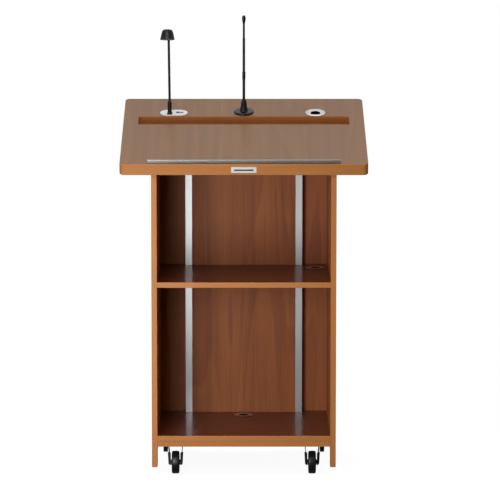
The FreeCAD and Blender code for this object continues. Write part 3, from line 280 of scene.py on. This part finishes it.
# Moulded polycarbonate: clean white with a thin gloss on it.
white_pc = moulded("white_polycarbonate", "f6f6f5", 0.3, 0.5, 0.006, 0.03, coat=0.2)
# Moulded nylon: a dull black for the outlet case; the same black is laid as painted shade down the grommet
# wells.
black_nylon_and_well_shade = moulded("black_nylon_and_painted_well_shade", "0a0a0b", 0.5)
# Tinned pressed steel: a light grey metal, satin rather than bright.
port_metal = moulded("tinned_port_steel", "d6d9dc", 0.45, 0.4, 0.004, 0.06, metallic=1.0)
# Powder-coated steel: near black with a fine orange peel that breaks its highlight.
powder_black = moulded("powder_coated_black", "0d0d0f", 0.4, 1.2, 0.01, 0.1)
# Moulded satin ABS: black, with a sharper highlight than the powder coat.
satin_black = moulded("satin_abs_black", "0b0b0c", 0.34, 0.8, 0.008, 0.08)
# Moulded thermoplastic rubber: duller and a little lighter than the ABS.
boot_rubber = moulded("rubber_boot", "0e0e0f", 0.5, 0.8, 0.012, 0.1)
# Zinc-plated pressed steel: a cool light metal with a cloudy gloss.
zinc = moulded("zinc_plated_steel", "b9bcbf", 0.34, 1.5, 0.01, 0.12, metallic=1.0)
# Black-painted pressed steel: black with a satin highlight along its folds.
fork_black = moulded("black_fork_steel", "121214", 0.38, 1.5, 0.01, 0.12)
# Moulded polyamide wheel centre, dark grey; moulded rubber tyre, black and a little glossy.
wheel_grey = moulded("polyamide_wheel", "3c3d40", 0.42, 0.8, 0.01, 0.08)
tyre_rubber = moulded("rubber_tyre", "1d1d1f", 0.32, 1.0, 0.02, 0.1)
# Opal acrylic, moulded: an even grey-white when unlit; solder-masked board: plain white.
opal = moulded("opal_diffuser", "a3a3a0", 0.3, 0.6, 0.003, 0.02)
led_white = moulded("led_board_white", "e8e8e4", 0.5)
# Satin-lacquered plate: a flat pale silver; its printed band: a flat dark grey.
plate_silver = moulded("plate_satin_silver", "eeeff0", 0.4, 0.5, 0.004, 0.03)
plate_print = moulded("plate_printed_band", "3c3e42", 0.45, 0.5, 0.002, 0.03)


# ---------------------------------------------------------------- pieces

SAME_POINT = 0.002 * MM     # corners closer than this are one corner
FLAT_DEGREES = 0.6          # facets that turn less than this are one flat face
SHARP_DEGREES = 32          # edges that turn more than this are eased


def new_object(name, mesh, body):
    made = bpy.data.objects.new(name, mesh)
    bpy.context.scene.collection.objects.link(made)
    if body:
        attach(made, body)
    return made


def shade(mesh, angle=36):
    mesh.shade_smooth()
    mesh.set_sharp_from_angle(angle=math.radians(angle))


def weighted(made):
    """Keep large flat faces flat next to their eased edges."""
    modifier = made.modifiers.new("flat_faces", "WEIGHTED_NORMAL")
    modifier.keep_sharp = True
    modifier.weight = 60
    return made


def eased(node, body, materials, pick=None, ease=0.8 * MM, steps=3):
    """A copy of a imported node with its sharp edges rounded, standing for that node.

    pick(centre, normal) gives the number of the material of each flat face. Facets that share a
    curved surface meet below the sharp angle and stay as they are.
    """
    bm = bmesh.new()
    bm.from_mesh(frame["nodes"][node].data)
    bmesh.ops.remove_doubles(bm, verts=bm.verts, dist=SAME_POINT)
    bmesh.ops.dissolve_limit(bm, angle_limit=math.radians(FLAT_DEGREES), verts=bm.verts, edges=bm.edges,
                             delimit={"NORMAL"})
    bm.normal_update()
    for face in bm.faces:
        face.material_index = pick(face.calc_center_median(), face.normal) if pick else 0
    sharp = [edge for edge in bm.edges
             if len(edge.link_faces) == 2 and edge.calc_face_angle(0) > math.radians(SHARP_DEGREES)]
    bmesh.ops.bevel(bm, geom=sharp, offset=ease, offset_type="OFFSET", segments=steps, profile=0.5,
                    affect="EDGES", clamp_overlap=False, material=-1, loop_slide=True)
    mesh = bpy.data.meshes.new(f"{node}_eased")
    bm.to_mesh(mesh)
    bm.free()
    for material in materials:
        mesh.materials.append(material)
    shade(mesh)
    made = weighted(new_object(f"{node}_finished", mesh, body))
    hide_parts(node)
    return made


def repaint(node, material):
    """Give a carried-over node its finish."""
    mesh = frame["nodes"][node].data
    mesh.materials.clear()
    mesh.materials.append(material)


def softened(points, radius, steps=5):
    """A profile of (radius, along) points with every inner corner rounded."""
    outline = [Vector(points[0])]
    for before, here, after in zip(points, points[1:], points[2:]):
        here, back, on = Vector(here), Vector(before) - Vector(here), Vector(after) - Vector(here)
        reach = min(radius, back.length * 0.48, on.length * 0.48)
        start, end = here + back.normalized() * reach, here + on.normalized() * reach
        for step in range(steps + 1):
            t = step / steps
            outline.append(start * (1 - t) ** 2 + here * 2 * t * (1 - t) + end * t ** 2)
    outline.append(Vector(points[-1]))
    return outline


def turned_mesh(name, outline, foot, axis, around=64):
    """Spin an outline of (radius, along) points about an axis through foot."""
    turn = Z.rotation_difference(Vector(axis)).to_matrix()
    bm = bmesh.new()
    rows = []
    for radius, along in outline:
        if radius < 1e-7:
            rows.append([bm.verts.new(foot + turn @ Vector((0, 0, along)))])
            continue
        rows.append([bm.verts.new(foot + turn @ Vector((radius * math.cos(a), radius * math.sin(a), along)))
                     for a in (math.tau * index / around for index in range(around))])
    for low, high in zip(rows, rows[1:]):
        for index in range(around):
            after = (index + 1) % around
            # A row of one point is the tip, where the four corners come down to three.
            ring = [low[index % len(low)], low[after % len(low)],
                    high[after % len(high)], high[index % len(high)]]
            ring = list(dict.fromkeys(ring))
            if len(ring) > 2:
                bm.faces.new(ring)
    bmesh.ops.recalc_face_normals(bm, faces=bm.faces)
    mesh = bpy.data.meshes.new(name)
    bm.to_mesh(mesh)
    bm.free()
    shade(mesh)
    return mesh


def turned(name, body, material, points, foot, axis, soft=0.8 * MM, around=64, replaced=(),
           closed=False):
    """A turned piece on a body; points are (radius, along) in millimetres, soft rounds its corners.

    A closed outline comes back to its start, as a tyre's section does.
    """
    points = [(radius * MM, along * MM) for radius, along in points]
    outline = softened(points, soft)
    if closed:
        outline.append(outline[0])
    mesh = turned_mesh(name, outline, foot, axis, around)
    mesh.materials.append(material)
    made = new_object(name, mesh, body)
    if replaced:
        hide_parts(*replaced)
    return made


def ribbed_tube(name, line, radius, rib, pitch, material, around=20):
    """A wound gooseneck: a tube whose helical ribs are rib deep and pitch apart, along a line of points."""
    bm = bmesh.new()
    rows = []
    travelled = 0.0
    side = X.copy()
    for index, point in enumerate(line):
        before, after = line[max(index - 1, 0)], line[min(index + 1, len(line) - 1)]
        ahead = (after - before).normalized()
        side = (side - ahead * side.dot(ahead)).normalized()
        other = ahead.cross(side)
        if index:
            travelled += (point - line[index - 1]).length
        row = []
        for step in range(around):
            angle = math.tau * step / around
            wave = math.cos(math.tau * travelled / pitch - angle)
            reach = radius - rib * (1 - wave) / 2
            row.append(bm.verts.new(point + (side * math.cos(angle) + other * math.sin(angle)) * reach))
        rows.append(row)
    for low, high in zip(rows, rows[1:]):
        for step in range(around):
            after = (step + 1) % around
            bm.faces.new((low[step], low[after], high[after], high[step]))
    bm.faces.new(list(reversed(rows[0])))
    bm.faces.new(rows[-1])
    mesh = bpy.data.meshes.new(name)
    bm.to_mesh(mesh)
    bm.free()
    mesh.materials.append(material)
    mesh.shade_smooth()
    made = bpy.data.objects.new(name, mesh)
    bpy.context.scene.collection.objects.link(made)
    return made


def run(start, end, step=0.5 * MM):
    """Points from start to end, a small step apart."""
    count = max(int((end - start).length / step), 2)
    return [start.lerp(end, index / count) for index in range(count + 1)]


# ---------------------------------------------------------------- camera, light and floor

# A long lens from 10 m away, a little above the desk and looking down by 7 degrees.
camera_data = bpy.data.cameras.new("camera")
camera = bpy.data.objects.new("camera", camera_data)
bpy.context.scene.collection.objects.link(camera)
camera.location = (0, -10.2215, 1.981)
camera.rotation_euler = (math.radians(82.94), 0, 0)
camera_data.sensor_width = 36
camera_data.lens = 222.98
camera_data.shift_x = 0.0123
camera_data.shift_y = -0.001
camera_data.clip_end = 100
bpy.context.scene.camera = camera

bpy.context.scene.view_settings.view_transform = "Standard"
bpy.context.scene.view_settings.look = "None"


def softbox(name, place, aim, size, watts):
    """A white rectangular light at place, turned to aim."""
    data = bpy.data.lights.new(name, "AREA")
    data.shape = "RECTANGLE"
    data.size, data.size_y = size
    data.energy = watts
    made = bpy.data.objects.new(name, data)
    bpy.context.scene.collection.objects.link(made)
    made.location = place
    made.rotation_euler = (Vector(aim) - Vector(place)).to_track_quat("-Z", "Y").to_euler()


# Low and close on the speaker's left, so that the right-hand insides and the posts catch it.
softbox("key", (-0.62, -1.65, 0.62), (-0.05, 0, 0.62), (0.6, 1.0), 16)
# High in front for the desk and its edge, and broad above for the top edges.
softbox("front_fill", (-0.5, -1.9, 3.0), (0, 0, 1.1), (1.4, 0.9), 20)
softbox("overhead", (0.1, 0.9, 3.2), (0, 0, 1), (2.4, 1.2), 6)

# Studio surroundings: pale behind and above the lectern, dim in front of it and low down.
world = bpy.data.worlds.new("studio")
bpy.context.scene.world = world
world.use_nodes = True
world.node_tree.nodes.clear()
way = add(world.node_tree, "TexCoord").outputs["Generated"]
way = add(world.node_tree, "SeparateXYZ", {"Vector": way}).outputs
height_share = add(world.node_tree, "MapRange", {
    "Value": way["Z"], "From Min": -0.1, "From Max": 0.55, "To Min": 0.13, "To Max": 0.78,
}, interpolation_type="SMOOTHSTEP")
depth_share = add(world.node_tree, "MapRange", {
    "Value": way["Y"], "From Min": -0.7, "From Max": 0.6, "To Min": 0.26, "To Max": 1.0,
}, interpolation_type="SMOOTHSTEP")
sky_level = add(world.node_tree, "Math", {
    0: height_share.outputs["Result"], 1: depth_share.outputs["Result"],
}, operation="MULTIPLY").outputs[0]
sky = add(world.node_tree, "Background", {"Color": (1, 1, 1, 1), "Strength": sky_level})
add(world.node_tree, "OutputWorld", {"Surface": sky.outputs["Background"]})

floor_material, floor_tree = blank("white_studio_floor")
floor_glow = add(floor_tree, "Emission", {"Color": (1, 1, 1, 1), "Strength": 0.94})
floor_paint = add(floor_tree, "BsdfDiffuse", {"Color": (0.14, 0.14, 0.14, 1)})
floor_both = add(floor_tree, "AddShader", {0: floor_glow.outputs[0], 1: floor_paint.outputs[0]})
add(floor_tree, "OutputMaterial", {"Surface": floor_both.outputs[0]})
FLOOR_REACH = 60
floor_mesh = bpy.data.meshes.new("studio_floor")
floor_mesh.from_pydata([(-FLOOR_REACH, -FLOOR_REACH, 0), (FLOOR_REACH, -FLOOR_REACH, 0),
                        (FLOOR_REACH, FLOOR_REACH, 0), (-FLOOR_REACH, FLOOR_REACH, 0)], [], [(0, 1, 2, 3)])
floor_mesh.materials.append(floor_material)
floor = bpy.data.objects.new("studio_floor", floor_mesh)
bpy.context.scene.collection.objects.link(floor)
# The floor is a backdrop: the surroundings, not its glow, light the lectern from below.
floor.visible_diffuse = False
floor.visible_glossy = False

# A white wall far round the floor closes the view at low angles; it lights and shades nothing.
wall_material, wall_tree = blank("white_studio_wall")
wall_glow = add(wall_tree, "Emission", {"Color": (1, 1, 1, 1), "Strength": 1.0})
add(wall_tree, "OutputMaterial", {"Surface": wall_glow.outputs[0]})
WALL_RADIUS, WALL_FOOT, WALL_TOP, WALL_SIDES = 55, -0.5, 50, 32
wall_turns = [math.tau * k / WALL_SIDES for k in range(WALL_SIDES)]
wall_ring = [(WALL_RADIUS * math.cos(turn), WALL_RADIUS * math.sin(turn)) for turn in wall_turns]
wall_mesh = bpy.data.meshes.new("studio_wall")
wall_mesh.from_pydata([(x, y, height) for height in (WALL_FOOT, WALL_TOP) for x, y in wall_ring], [],
                      [(k, (k + 1) % WALL_SIDES, (k + 1) % WALL_SIDES + WALL_SIDES, k + WALL_SIDES)
                       for k in range(WALL_SIDES)])
wall_mesh.materials.append(wall_material)
wall = bpy.data.objects.new("studio_wall", wall_mesh)
bpy.context.scene.collection.objects.link(wall)
wall.visible_diffuse = False
wall.visible_glossy = False
wall.visible_shadow = False

# ---------------------------------------------------------------- boards

def by_thickness(axis):
    """Veneer on the faces of a board that is thin along axis, lipping on its edges."""
    return lambda centre, normal: 0 if abs(normal.dot(axis)) > 0.9 else 1


for side in SIDES:
    eased(f"side_panel_{side}", "cabinet", [wood[f"side_{side}"], wood["lipping_z"]],
          by_thickness(X))
    eased(f"back_panel_{side}", "cabinet", [wood[f"back_{side}"], wood["lipping_z"]],
          by_thickness(Y))
    eased(f"castor_batten_{side}", "cabinet", [wood["batten"]], ease=0.6 * MM)
    eased(f"desk_cleat_{side}", "cabinet", [wood["batten"]], ease=0.6 * MM)
    eased(f"upright_post_{side}", "cabinet", [anodised_post], ease=0.4 * MM)
eased("centre_panel", "cabinet", [wood["centre"], wood["lipping_z"]], by_thickness(Y))
eased("base_board", "cabinet", [wood["level"], wood["lipping_x"]], by_thickness(Z))
eased("shelf", "cabinet", [wood["level"], wood["lipping_x"]], by_thickness(Z))
for end in ("front", "back"):
    eased(f"base_rail_{end}", "cabinet", [wood["lipping_x"]])

desk_low, desk_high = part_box("desk_top")
DESK_CORNER = 22 * MM       # how far a rounded corner of the desk reaches in from its side
TRAY_MARGIN = 30 * MM       # upright faces further in than this from front and back belong to the tray


def desk_part(centre, normal):
    """Face, end lipping, side lipping, the tray cut into the desk, or the dull backing below."""
    if abs(normal.dot(SLOPE_UP)) > 0.9:
        return 0 if normal.dot(SLOPE_UP) > 0 else 4
    if abs(abs(centre.x) - desk_high.x) < DESK_CORNER and abs(normal.x) > 0.3:
        return 2
    return 3 if desk_low.y + TRAY_MARGIN < centre.y < desk_high.y - TRAY_MARGIN else 1


eased("desk_top", "cabinet",
      [wood["desk"], wood["lipping_x"], wood["lipping_desk"], wood["routed"], wood["underside"]], desk_part,
      ease=0.6 * MM)
eased("book_stop", "cabinet", [anodised_stop], ease=0.5 * MM)

# ---------------------------------------------------------------- fittings

WELL_SHADE_RIM = 1.2 * MM         # the grommet shows silver down to this far below the board's face; below it, its wall carries painted shade

repaint("carcass_dowels", wood["batten"])
for node in ("cleat_screws", "castor_screws", "fixed_axles"):
    repaint(node, zinc)
for where in ("desk", "shelf", "base"):
    turn = JOINTS[f"grommet_{where}_turn"]
    foot, axis = Vector(turn["pos_m"]), Vector(turn["axis"])

    def painted_well_shade(centre, normal):
        """Silver where the moulding shows above the board; painted shade in black on the faces down in the
        cable way.
        """
        off = centre - foot
        across = off - axis * off.dot(axis)
        inward = normal.dot(across) < -0.2 * across.length or abs(normal.dot(axis)) < 0.2
        return 1 if off.dot(axis) < -WELL_SHADE_RIM or (inward and off.dot(axis) < WELL_SHADE_RIM) else 0

    # Ring and cap: silver moulding, with painted shade in black on their faces down in the cable way.
    eased(f"grommet_ring_{where}", "cabinet", [silver_abs, black_nylon_and_well_shade], painted_well_shade, 0.4 * MM)
    eased(f"grommet_cap_{where}", f"grommet_cap_{where}", [silver_abs, black_nylon_and_well_shade],
          painted_well_shade, 0.5 * MM)
eased("outlet_bezel", "cabinet", [white_pc], ease=0.5 * MM)
repaint("outlet_case", black_nylon_and_well_shade)
repaint("outlet_ports", port_metal)
for node in ("mic_socket", "mic_plug"):
    repaint(node, satin_black)
repaint("lamp_led_board", led_white)
repaint("lamp_diffuser", opal)

# Name plate: satin silver, its printed line left as one plain dark band.
eased("name_plate", "cabinet", [plate_silver], ease=0.25 * MM)
BAND_OUT = 0.64             # millimetres from the middle of the plate to the band, just clear of its face
BAND_CORNERS = ((-31, -3.2), (31, -3.2), (31, 2.0), (-31, 2.0))
plate_face = middle("name_plate") - SLOPE_ALONG * (BAND_OUT * MM)
band_mesh = bpy.data.meshes.new("name_plate_band")
band_mesh.from_pydata([plate_face + X * (across * MM) + SLOPE_UP * (high * MM)
                       for across, high in BAND_CORNERS], [], [(0, 1, 2, 3)])
band_mesh.materials.append(plate_print)
new_object("name_plate_band", band_mesh, "cabinet")

# ---------------------------------------------------------------- microphone

RIB = 0.12 * MM             # depth of a gooseneck's winding
MIC_DISC_HALF = 4 * MM      # from the middle of the base disc down to the desk
mic_foot = middle("mic_flange") - SLOPE_UP * MIC_DISC_HALF
turned("mic_base_disc", "cabinet", satin_black, [
    (9.6, 0.0), (33.5, 0.0), (33.5, 3.6), (31.6, 6.4), (26, 7.8), (17, 8.2), (9.6, 8.2),
], mic_foot, SLOPE_UP, 2.2 * MM, 96, ("mic_flange",))
turned("mic_stand_boot", "cabinet", boot_rubber, [
    (4.4, 8.0), (16, 8.0), (13.2, 10.2), (11.9, 16.5), (10.2, 24), (9.3, 33), (8.6, 40.5), (5.9, 46.4),
    (5.6, 48), (4.4, 48),
], mic_foot, SLOPE_UP, 3.0 * MM, 64, ("mic_boot",))


def up_mic(high):
    """A point on the microphone's line, that many millimetres above the desk."""
    return mic_foot + SLOPE_UP * (high * MM)


lower_flex = ribbed_tube("mic_lower_gooseneck", run(up_mic(30), up_mic(121)), 4.6 * MM, RIB, 2.4 * MM,
                         powder_black)
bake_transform(lower_flex)
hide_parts("mic_neck_lower")
turned("mic_rigid_stem", "mic_stem", powder_black, [
    (0, 118.6), (4.6, 118.6), (5.5, 120), (5.5, 144), (4.3, 145.5), (4.3, 263.5), (3.6, 266), (0, 266),
], mic_foot, SLOPE_UP, 0.8 * MM, 48, ("mic_stem",))
upper_flex = ribbed_tube("mic_upper_gooseneck", run(up_mic(264), up_mic(316)), 3.6 * MM, RIB, 2.0 * MM,
                         powder_black)
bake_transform(upper_flex)
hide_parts("mic_neck_upper")
turned("mic_capsule_body", "mic_head", satin_black, [
    (0, 314), (3.5, 314), (4.2, 320.2), (5.7, 327.0), (6.2, 331.0), (6.2, 336.3), (5.1, 341.3), (3.2, 344.1),
    (0, 345),
], mic_foot, SLOPE_UP, 1.6 * MM, 48, ("mic_capsule",))

# ---------------------------------------------------------------- reading lamp

lamp_bend = anchor("lamp_neck_bend")
lamp_top = anchor("lamp_head_bend")
lamp_line = (lamp_top - lamp_bend).normalized()
LAMP_BEND_HIGH = 66 * MM    # the lower bend's height above the desk
LAMP_TUBE = 4.1 * MM        # the neck's outer radius
LAMP_PITCH = 2.2 * MM       # from one winding to the next
lamp_foot = lamp_bend - SLOPE_UP * LAMP_BEND_HIGH
turned("lamp_socket_sleeve", "cabinet", powder_black, [
    (3.8, 3), (9.5, 3), (9.5, 6), (7, 8), (7, 44), (5.2, 48), (3.8, 48),
], lamp_foot, SLOPE_UP, 0.8 * MM, 48, ("lamp_sleeve",))
half_way = lamp_bend.lerp(lamp_top, 0.5)
lower_run = run(lamp_bend - SLOPE_UP * (30 * MM), lamp_bend)[:-1] + run(lamp_bend, half_way)
lower_lamp = ribbed_tube("lamp_lower_gooseneck", lower_run, LAMP_TUBE, RIB, LAMP_PITCH, powder_black)
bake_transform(lower_lamp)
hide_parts("lamp_neck_lower")

# The tube carries on past the upper bend, round an elbow towards the speaker and into the shade.
ELBOW = 30 * MM
ELBOW_STEPS = 48
HEAD_TILT = math.radians(10)
elbow_foot = lamp_top + SLOPE_UP * (4 * MM)
towards_speaker = SLOPE_ALONG * -1
elbow_centre = elbow_foot + towards_speaker * ELBOW
elbow_turn = math.pi / 2 - HEAD_TILT - SLOPE
arc = [elbow_centre - towards_speaker * (ELBOW * math.cos(elbow_turn * k / ELBOW_STEPS))
       + SLOPE_UP * (ELBOW * math.sin(elbow_turn * k / ELBOW_STEPS)) for k in range(1, ELBOW_STEPS + 1)]
stub_way = (arc[-1] - arc[-2]).normalized()
upper_run = (run(half_way - lamp_line * MM, lamp_top)[:-1] + run(lamp_top, elbow_foot)
             + arc + run(arc[-1], arc[-1] + stub_way * (6 * MM))[1:])
upper_lamp = ribbed_tube("lamp_upper_gooseneck", upper_run, LAMP_TUBE, RIB, LAMP_PITCH, powder_black)
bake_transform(upper_lamp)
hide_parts("lamp_neck_upper", "lamp_elbow")
repaint("lamp_shade", powder_black)

# ---------------------------------------------------------------- castors

# Millimetres from the middle of the wheel: (across, up) round one folded edge of a pressed fork.
FOLD = ((15.6, -1), (16.6, -5.2), (19.4, -7.4), (22.2, -6), (23.4, -2), (25.4, 34), (23.2, 36.4),
        (19.0, 36.0), (15.6, 31))
FOLD_FORWARD = 10.2
FOLD_THICK = 2.0 * MM


def fork_flange(side, wheel):
    """The front edges of a pressed fork, folded in towards the tyre on both sides of it."""
    bm = bmesh.new()
    for sign in (-1, 1):
        front = [bm.verts.new(wheel + Vector((sign * across, -FOLD_FORWARD, high)) * MM)
                 for across, high in FOLD]
        back = [bm.verts.new(corner.co + Y * FOLD_THICK) for corner in front]
        bm.faces.new(front)
        bm.faces.new(list(reversed(back)))
        for index in range(len(front)):
            after = (index + 1) % len(front)
            bm.faces.new((front[index], back[index], back[after], front[after]))
    bmesh.ops.recalc_face_normals(bm, faces=bm.faces)
    rims = [edge for edge in bm.edges if edge.calc_face_angle(0) > math.radians(60)]
    bmesh.ops.bevel(bm, geom=rims, offset=0.6 * MM, offset_type="OFFSET", segments=3, profile=0.5,
                    affect="EDGES")
    mesh = bpy.data.meshes.new(f"castor_fork_fold_{side}")
    bm.to_mesh(mesh)
    bm.free()
    mesh.materials.append(fork_black)
    shade(mesh)
    return weighted(new_object(f"castor_fork_fold_{side}", mesh, f"castor_fork_{side}"))


for side in SIDES:
    eased(f"castor_plate_{side}", "cabinet", [zinc], ease=0.3 * MM)
    eased(f"castor_fork_{side}", f"castor_fork_{side}", [fork_black], ease=0.4 * MM)
    eased(f"fixed_bracket_{side}", "cabinet", [fork_black], ease=0.3 * MM)
    hub = anchor(f"castor_{side}_roll")
    fork_flange(side, hub)
    turned(f"castor_wheel_axle_{side}", f"castor_fork_{side}", fork_black, [
        (0, -21.4), (4.6, -21.2), (6.2, -19.6), (6.2, -18.75), (4, -18.75), (4, 18.75), (6.2, 18.75),
        (6.2, 19.6), (4.6, 21.2), (0, 21.4),
    ], hub, X, 0.5 * MM, 40, (f"castor_axle_{side}",))
    turned(f"castor_wheel_tyre_{side}", f"castor_wheel_{side}", tyre_rubber, [
        (26, -12.5), (32.2, -12.5), (35.6, -11.6), (37.1, -8.2), (37.5, 0), (37.1, 8.2), (35.6, 11.6),
        (32.2, 12.5), (26, 12.5),
    ], hub, X, 1.6 * MM, 96, (f"castor_tyre_{side}",), closed=True)
    repaint(f"castor_hub_{side}", wheel_grey)
    repaint(f"fixed_wheel_{side}", tyre_rubber)
